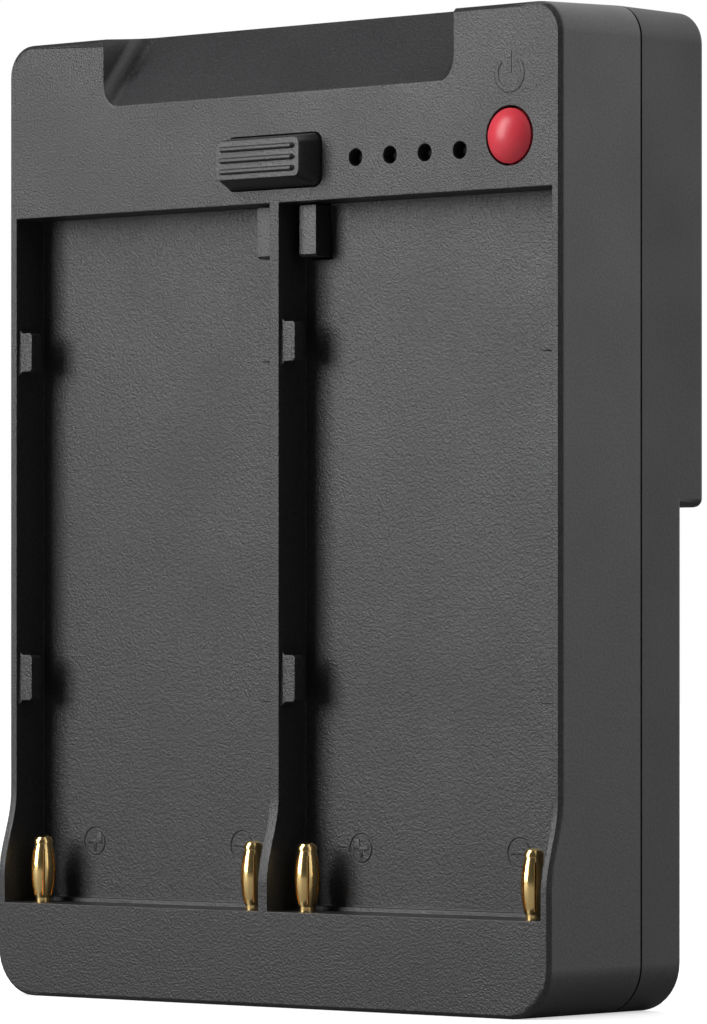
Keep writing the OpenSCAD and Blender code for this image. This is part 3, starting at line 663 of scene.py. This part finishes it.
def zinc():
    s = bpy.context.scene.adapter_metal
    return material_named("zinc_plated_steel", plated_metal, s.steel, 0.3, 0.1)


# Pieces


class ADAPTER_OT_front_shell(Operator):
    """Front shell with its bevels and the ring grooves of the polarity marks"""

    bl_idname = "adapter.front_shell"
    bl_label = "Front shell"

    def execute(self, context):
        housing, marks = context.scene.adapter_housing, context.scene.adapter_marks
        shell = copy_of("front_shell", "front_housing")
        chamfer_front(shell, housing.bevel, EDGE_RADIUS)
        # The outer edge has its own bevel, so only the edges inside it are softened
        round_edges(shell, housing.edge, self.in_the_bays)
        round_edges(shell, housing.edge, self.on_the_scoop, sharper=35)
        for x in polarity_places():
            bpy.ops.object.select_all(action="DESELECT")
            bpy.ops.mesh.primitive_torus_add(
                major_radius=marks.polarity_radius,
                minor_radius=marks.polarity_groove,
                major_segments=64,
                minor_segments=16,
                location=(x, BAY_FLOOR - 0.3 * marks.polarity_groove, marks.polarity_height),
                rotation=(math.pi / 2, 0, 0),
            )
            groove = context.active_object
            apply_modifier(shell, "BOOLEAN", operation="DIFFERENCE", object=groove, solver="EXACT")
            bpy.data.objects.remove(groove)
        draft_top(shell, housing.draft)
        smooth(shell)
        finish_piece(shell, housing_abs(), "case")
        return {"FINISHED"}

    def in_the_bays(self, p):
        """Whether a point is on the bays' side of the shell and clear of the button's window."""
        clear = abs(p.x) > 9 * MM or abs(p.z - BUTTON_MIDDLE) > 4 * MM
        inside = abs(p.x) < CASE_WIDTH / 2 - 1.1 * MM and p.y < BAY_FLOOR + 0.5 * MM
        return clear and inside and 6 * MM < p.z < SCOOP_FOOT - MM

    def on_the_scoop(self, p):
        """Whether a point is on the front edge of the finger scoop."""
        across = abs(p.x) < SCOOP_WIDTH / 2 + 0.1 * MM
        return across and p.y < 0.3 * MM and SCOOP_FOOT - MM < p.z < CASE_HEIGHT - 1.5 * MM


class ADAPTER_OT_back_shell(Operator):
    """Back shell with softened edges"""

    bl_idname = "adapter.back_shell"
    bl_label = "Back shell"

    def execute(self, context):
        housing = context.scene.adapter_housing
        shell = copy_of("back_shell", "back_housing")
        # Only the rims of the screw holes, as the outer edges are rounded in the CAD model
        round_edges(shell, housing.edge, self.on_the_back)
        draft_top(shell, housing.draft)
        smooth(shell)
        finish_piece(shell, back_abs(), "case")
        return {"FINISHED"}

    def on_the_back(self, p):
        """Whether a point is on the back, in the strips with the screw holes."""
        return p.y > 21.2 * MM and 28 * MM < abs(p.x) < 38.2 * MM and 1.5 * MM < p.z < 107 * MM


def polarity_places():
    """Places of the polarity marks beside the four pins, from the left to the right."""
    return [-31.7 * MM, -8.9 * MM, 8.9 * MM, 31.7 * MM]


class ADAPTER_OT_polarity_marks(Operator):
    """Plus and minus signs that stand a little out of the bay floors"""

    bl_idname = "adapter.polarity_marks"
    bl_label = "Polarity marks"

    def execute(self, context):
        marks = context.scene.adapter_marks
        reach = marks.polarity_radius * 0.68
        half = 0.2 * MM
        for number, x in enumerate(polarity_places()):
            plus = number in (0, 2)
            bpy.ops.object.select_all(action="DESELECT")
            bpy.ops.mesh.primitive_cube_add(
                size=1,
                location=(x, BAY_FLOOR + 0.1 * MM, marks.polarity_height),
                scale=(2 * half, 0.36 * MM, 2 * half),
            )
            sign = context.active_object
            sign.name = sign.data.name = f"polarity_sign_{number + 1}"
            bpy.ops.object.transform_apply(location=True, rotation=True, scale=True)
            bpy.ops.object.mode_set(mode="EDIT")
            arms = [Vector((1, 0, 0)), Vector((-1, 0, 0))]
            if plus:
                arms += [Vector((0, 0, 1)), Vector((0, 0, -1))]
            for arm in arms:
                bpy.ops.mesh.select_mode(type="FACE")
                bpy.ops.mesh.select_all(action="DESELECT")
                mesh = bmesh.from_edit_mesh(sign.data)
                outermost = max(
                    mesh.faces, key=lambda f: f.calc_center_median().dot(arm) + f.normal.dot(arm)
                )
                outermost.select_set(True)
                bmesh.update_edit_mesh(sign.data)
                bpy.ops.mesh.extrude_region_move(
                    TRANSFORM_OT_translate={"value": arm * (reach - half)}
                )
            bpy.ops.object.mode_set(mode="OBJECT")
            apply_modifier(sign, "BEVEL", width=0.05 * MM, segments=2, limit_method="ANGLE")
            smooth(sign)
            finish_piece(sign, housing_abs(), "case")
        return {"FINISHED"}


class ADAPTER_OT_power_sign(Operator):
    """Raised ring and bar of the power sign above the power button"""

    bl_idname = "adapter.power_sign"
    bl_label = "Power sign"

    def execute(self, context):
        marks = context.scene.adapter_marks
        x, z = marks.power_place
        inner = marks.power_radius - marks.power_stroke
        rise = 0.06 * MM
        bpy.ops.object.select_all(action="DESELECT")
        bpy.ops.mesh.primitive_circle_add(
            vertices=72,
            radius=inner,
            fill_type="NOTHING",
            location=(x, 0, z),
            rotation=(math.pi / 2, 0, 0),
        )
        ring = context.active_object
        ring.name = ring.data.name = "power_sign_ring"
        bpy.ops.object.transform_apply(location=True, rotation=True, scale=True)
        bpy.ops.object.mode_set(mode="EDIT")
        bpy.ops.mesh.select_mode(type="VERT")
        bpy.ops.mesh.select_all(action="DESELECT")
        mesh = bmesh.from_edit_mesh(ring.data)
        for vertex in mesh.verts:
            # The ring is open at its top, 38 degrees to each side of the bar
            if math.atan2(abs(vertex.co.x - x), vertex.co.z - z) < math.radians(38):
                vertex.select_set(True)
        bmesh.update_edit_mesh(ring.data)
        bpy.ops.mesh.delete(type="VERT")
        bpy.ops.mesh.select_all(action="SELECT")
        bpy.ops.mesh.extrude_region_move()
        bpy.ops.transform.resize(
            value=[marks.power_radius / inner] * 3, center_override=(x, 0, z)
        )
        bpy.ops.object.mode_set(mode="OBJECT")
        apply_modifier(ring, "SOLIDIFY", thickness=2 * rise, offset=0)
        bpy.ops.object.select_all(action="DESELECT")
        bpy.ops.mesh.primitive_cube_add(
            size=1,
            location=(x, 0, z + marks.power_radius * 0.62),
            scale=(marks.power_stroke, 2 * rise, marks.power_radius * 1.15),
        )
        bar = context.active_object
        bar.name = bar.data.name = "power_sign_bar"
        bpy.ops.object.transform_apply(location=True, rotation=True, scale=True)
        for sign in (ring, bar):
            apply_modifier(sign, "BEVEL", width=0.04 * MM, segments=2, limit_method="ANGLE")
            select_only(sign)
            bpy.ops.object.mode_set(mode="EDIT")
            bpy.ops.mesh.select_all(action="SELECT")
            bpy.ops.mesh.normals_make_consistent(inside=False)
            bpy.ops.object.mode_set(mode="OBJECT")
            smooth(sign)
            finish_piece(sign, housing_abs(), "case")
        return {"FINISHED"}


class ADAPTER_OT_release_button(Operator):
    """Ribbed release button with its latches"""

    bl_idname = "adapter.release_button"
    bl_label = "Release button"

    def execute(self, context):
        housing, buttons = context.scene.adapter_housing, context.scene.adapter_buttons
        button = copy_of("release_button", "release_slide")
        lift = BUTTON_MIDDLE + 0.2 * MM
        for vertex in button.data.vertices:
            # Crisper edge round the face
            if abs(vertex.co.y - BUTTON_FACE) < 0.02 * MM and abs(vertex.co.x) > 5.2 * MM:
                vertex.co.x *= 1.02
            if abs(vertex.co.y - BUTTON_FACE) < 0.02 * MM and abs(vertex.co.z - lift) > 1.8 * MM:
                vertex.co.z += math.copysign(0.12 * MM, vertex.co.z - lift)
            # The latches are flat right up to the band
            if LATCH_FACE < vertex.co.y < LATCH_FACE + 1 * MM and vertex.co.z > 89 * MM:
                if 1.8 * MM < abs(vertex.co.x) < 4.6 * MM and vertex.co.z < 90 * MM:
                    vertex.co.y = LATCH_FACE
        face, latch_top, plate = BUTTON_FACE + 0.7 * MM, 90 * MM, 5 * MM
        round_edges(button, 0.08 * MM, lambda p: p.y < face or (p.z < latch_top and p.y < plate))
        smooth(button)
        grip = material_named(
            "black_abs_grip",
            moulded_abs,
            buttons.grip,
            housing.roughness - 0.04,
            housing.grain,
            housing.grain_depth * 0.6,
        )
        finish_piece(button, grip, "release_slider")
        return {"FINISHED"}


class ADAPTER_OT_power_key(Operator):
    """Red domed power button and the plunger behind it"""

    bl_idname = "adapter.power_key"
    bl_label = "Power button"

    def execute(self, context):
        buttons = context.scene.adapter_buttons
        cap = copy_of("power_button", "power_cap")
        top = min(vertex.co.y for vertex in cap.data.vertices)
        bpy.ops.object.mode_set(mode="EDIT")
        bpy.ops.mesh.select_mode(type="VERT")
        bpy.ops.mesh.select_all(action="DESELECT")
        mesh = bmesh.from_edit_mesh(cap.data)
        for vertex in mesh.verts:
            vertex.select_set(vertex.co.y < top + 0.001 * MM)
        bmesh.update_edit_mesh(cap.data)
        bpy.ops.mesh.dissolve_verts()
        bpy.ops.object.mode_set(mode="OBJECT")
        smooth(cap, 35, flat_faces=False)
        red = material_named("red_abs_polished", polished_abs, buttons.red, buttons.red_roughness)
        finish_piece(cap, red, "power_key")
        nylon = material_named("black_nylon", speckled, "#151516", "#1c1c1d", 0.5 * MM, 0.5)
        give(frame["nodes"]["switch_plunger"], nylon)
        return {"FINISHED"}


class ADAPTER_OT_contact_pins(Operator):
    """Four slotted, bulged contact pins"""

    bl_idname = "adapter.contact_pins"
    bl_label = "Contact pins"

    def execute(self, context):
        for place in ("left_outer", "left_inner", "right_inner", "right_outer"):
            pin = copy_of(f"pin_{place}", f"contact_{place}")
            smooth(pin, 30)
            finish_piece(pin, gold(), "case")
        return {"FINISHED"}


class ADAPTER_OT_lamps(Operator):
    """Four unlit indicator lamps behind near-black, matt lenses"""

    bl_idname = "adapter.lamps"
    bl_label = "Lamps"

    def execute(self, context):
        smoked = material_named("near_black_lens", speckled, "#020202", "#050505", 0.6 * MM, 0.7, 1.3)
        for number in range(1, 5):
            lens = copy_of(f"lamp_{number}", f"indicator_{number}")
            smooth(lens, 35)
            finish_piece(lens, smoked, "case")
        return {"FINISHED"}


class ADAPTER_OT_dovetail(Operator):
    """Dovetail wedge on the back, with the socket block in its channel"""

    bl_idname = "adapter.dovetail"
    bl_label = "Dovetail wedge"

    def execute(self, context):
        housing = context.scene.adapter_housing
        wedge = copy_of("dovetail_wedge", "dovetail")
        round_edges(wedge, 0.2 * MM)
        smooth(wedge)
        finish_piece(wedge, back_abs(), "case")
        block = copy_of("socket_block", "socket_carrier")
        round_edges(block, 0.1 * MM)
        smooth(block)
        nylon = material_named(
            "moulded_nylon", moulded_abs, "#1b1b1c", 0.42, housing.grain, 0.01 * MM
        )
        finish_piece(block, nylon, "case")
        for kind in ("power", "data"):
            for side in ("left", "right"):
                socket = copy_of(f"{kind}_socket_{side}", f"{kind}_contact_{side}")
                smooth(socket, 35)
                finish_piece(socket, gold(), "case")
        return {"FINISHED"}


class ADAPTER_OT_screws(Operator):
    """Zinc plated cross-head screws"""

    bl_idname = "adapter.screws"
    bl_label = "Screws"

    def execute(self, context):
        for node in ("housing_screws", "wedge_screws", "board_screws"):
            screws = copy_of(node, f"{node}_plated")
            smooth(screws, 35)
            finish_piece(screws, zinc(), "case")
        return {"FINISHED"}


class ADAPTER_OT_works(Operator):
    """Springs, boards, parts and leads inside the case"""

    bl_idname = "adapter.works"
    bl_label = "Inside"

    def execute(self, context):
        nodes = frame["nodes"]
        for side in ("left", "right"):
            spring = copy_of(f"release_spring_{side}", f"spring_{side}")
            smooth(spring, 50)
            finish_piece(spring, zinc(), "case")
        finishes = {
            # Solder mask over woven glass, glossy and a little uneven
            "circuit_board": ("#1d5c34", "#24693c", 1.2 * MM, 0.35),
            # Pressed and sintered powder, grey and dull
            "ferrite": ("#3a3a3d", "#454549", 0.4 * MM, 0.7),
            # Extruded vinyl insulation
            "wire_insulation": ("#8e1f22", "#9a2527", 0.8 * MM, 0.45),
            # Film over flat copper strips
            "ribbon": ("#b8b19c", "#c9c2ad", 0.7 * MM, 0.5),
        }
        worn_by = {
            "circuit_board": ("main_board", "contact_board", "indicator_board"),
            "ferrite": ("chokes",),
            "wire_insulation": ("battery_leads", "output_leads"),
            "ribbon": ("indicator_ribbon",),
        }
        for slot, looks in finishes.items():
            material = material_named(slot, speckled, *looks)
            for node in worn_by[slot]:
                give(nodes[node], material)
        cans = material_named("drawn_aluminium", plated_metal, "#c4c5c8", 0.35, 0.08)
        give(nodes["capacitors"], cans)
        give(nodes["power_switch"], zinc())
        return {"FINISHED"}


class ADAPTER_OT_stage(Operator):
    """Pale floor, plain studio light and the camera"""

    bl_idname = "adapter.stage"
    bl_label = "Stage"

    def execute(self, context):
        s = context.scene.adapter_stage
        self.floor(context, s)
        self.key_light(context, s)
        self.studio(context, s)
        self.camera(context, s)
        return {"FINISHED"}

    def floor(self, context, s):
        bpy.ops.object.select_all(action="DESELECT")
        bpy.ops.mesh.primitive_circle_add(
            vertices=s.floor_sides, radius=4.0, fill_type="NGON", location=(0, 0, CAD_BOX[0][2])
        )
        floor = context.active_object
        floor.name = floor.data.name = "studio_floor"
        bpy.ops.object.transform_apply(location=True, rotation=True, scale=True)
        material, tree, output = new_material("painted_floor")
        place = add_node(tree, "ShaderNodeTexCoord")
        cloud = noise(tree, place, 0.4, 2.0)
        tone = two_tones(tree, cloud.outputs["Fac"], linear("#ececec"), linear("#f0f0f0"))
        ray = add_node(tree, "ShaderNodeLightPath")
        # Grey for all but the camera, so that the plate isn't lit from below
        bounce = add_node(
            tree,
            "ShaderNodeMix",
            [("Factor", ray.outputs["Is Camera Ray"]), (7, tone.outputs[2])],
            data_type="RGBA",
        )
        bounce.inputs[6].default_value = linear("#8a8a8a")
        paint = add_node(
            tree, "ShaderNodeBsdfPrincipled", [("Base Color", bounce.outputs[2])], roughness=0.8
        )
        # Lifts the floor to white for the camera, while the plate's shadow stays on it
        lift = add_node(tree, "ShaderNodeEmission", [("Strength", ray.outputs["Is Camera Ray"])])
        lift.inputs["Color"].default_value = (0.55, 0.55, 0.55, 1)
        both = add_node(tree, "ShaderNodeAddShader", [(0, paint.outputs[0]), (1, lift.outputs[0])])
        tree.links.new(both.outputs[0], output.inputs["Surface"])
        give(floor, material)

    def key_light(self, context, s):
        """Tall soft box to the left of the front, a little above the plate."""
        middle = Vector((0, 0.012, 0.055))
        turn, lift, away = math.radians(-31), math.radians(27), 0.6
        towards = Vector(
            (math.sin(turn) * math.cos(lift), -math.cos(turn) * math.cos(lift), math.sin(lift))
        )
        light = bpy.data.lights.new("key_softbox", "AREA")
        light.shape = "RECTANGLE"
        light.size, light.size_y = 0.3, 0.62
        light.energy = s.key_power
        key = bpy.data.objects.new("key_softbox", light)
        context.scene.collection.objects.link(key)
        key.location = middle + towards * away
        key.rotation_euler = towards.to_track_quat("Z", "Y").to_euler()

    def studio(self, context, s):
        """White for the camera. For the plate, a dim studio in front and a pale sweep behind."""
        world = bpy.data.worlds.new("studio")
        context.scene.world = world
        world.use_nodes = True
        tree = world.node_tree
        tree.nodes.clear()
        output = add_node(tree, "ShaderNodeOutputWorld")
        place = add_node(tree, "ShaderNodeTexCoord")
        across = add_node(
            tree,
            "ShaderNodeVectorMath",
            [(0, place.outputs["Generated"])],
            operation="DOT_PRODUCT",
        )
        across.inputs[1].default_value = (0.5, 0.85, 0.15)
        sweep = add_node(
            tree,
            "ShaderNodeMapRange",
            [("Value", across.outputs["Value"])],
            interpolation_type="SMOOTHSTEP",
            from_min=-0.15,
            from_max=0.75,
            to_min=s.ambient,
            to_max=s.backdrop,
        )
        room = add_node(tree, "ShaderNodeBackground", [("Strength", sweep.outputs["Result"])])
        room.inputs["Color"].default_value = (1, 1, 1, 1)
        white = add_node(tree, "ShaderNodeBackground")
        white.inputs["Color"].default_value = (1, 1, 1, 1)
        ray = add_node(tree, "ShaderNodeLightPath")
        shown = add_node(
            tree,
            "ShaderNodeMixShader",
            [(0, ray.outputs["Is Camera Ray"]), (1, room.outputs[0]), (2, white.outputs[0])],
        )
        tree.links.new(shown.outputs[0], output.inputs["Surface"])
        context.scene.view_settings.view_transform = "Standard"

    def camera(self, context, s):
        camera = bpy.data.cameras.new("camera")
        camera.lens = s.lens
        camera.sensor_width = 36
        camera.shift_y = s.rise
        camera.clip_start, camera.clip_end = 0.05, 20
        stand = bpy.data.objects.new("camera", camera)
        context.scene.collection.objects.link(stand)
        stand.location = s.camera_place
        stand.rotation_euler = (math.pi / 2, 0, s.camera_turn)
        context.scene.camera = stand


class ADAPTER_PT_panel(Panel):
    """Settings and pieces of the adapter plate"""

    bl_idname = "ADAPTER_PT_panel"
    bl_label = "Battery adapter plate"
    bl_space_type = "VIEW_3D"
    bl_region_type = "UI"
    bl_category = "Adapter"

    def draw(self, context):
        for name, settings in SETTINGS.items():
            box = self.layout.box()
            group = getattr(context.scene, name)
            for prop in settings.__annotations__:
                box.prop(group, prop)
        for operator in OPERATORS:
            self.layout.operator(operator.bl_idname)


SETTINGS = {
    "adapter_housing": HousingSettings,
    "adapter_buttons": ButtonSettings,
    "adapter_marks": MarkSettings,
    "adapter_metal": MetalSettings,
    "adapter_stage": StageSettings,
}
OPERATORS = (
    ADAPTER_OT_front_shell,
    ADAPTER_OT_back_shell,
    ADAPTER_OT_polarity_marks,
    ADAPTER_OT_power_sign,
    ADAPTER_OT_release_button,
    ADAPTER_OT_power_key,
    ADAPTER_OT_contact_pins,
    ADAPTER_OT_lamps,
    ADAPTER_OT_dovetail,
    ADAPTER_OT_screws,
    ADAPTER_OT_works,
    ADAPTER_OT_stage,
)


def register():
    for name, settings in SETTINGS.items():
        bpy.utils.register_class(settings)
        setattr(bpy.types.Scene, name, PointerProperty(type=settings))
    for operator in OPERATORS:
        bpy.utils.register_class(operator)
    bpy.utils.register_class(ADAPTER_PT_panel)


def unregister():
    bpy.utils.unregister_class(ADAPTER_PT_panel)
    for operator in reversed(OPERATORS):
        bpy.utils.unregister_class(operator)
    for name, settings in SETTINGS.items():
        delattr(bpy.types.Scene, name)
        bpy.utils.unregister_class(settings)


def main():
    register()
    bpy.ops.adapter.front_shell()
    bpy.ops.adapter.back_shell()
    bpy.ops.adapter.polarity_marks()
    bpy.ops.adapter.power_sign()
    bpy.ops.adapter.release_button()
    bpy.ops.adapter.power_key()
    bpy.ops.adapter.contact_pins()
    bpy.ops.adapter.lamps()
    bpy.ops.adapter.dovetail()
    bpy.ops.adapter.screws()
    bpy.ops.adapter.works()
    bpy.ops.adapter.stage()


if __name__ == "__main__":
    main()
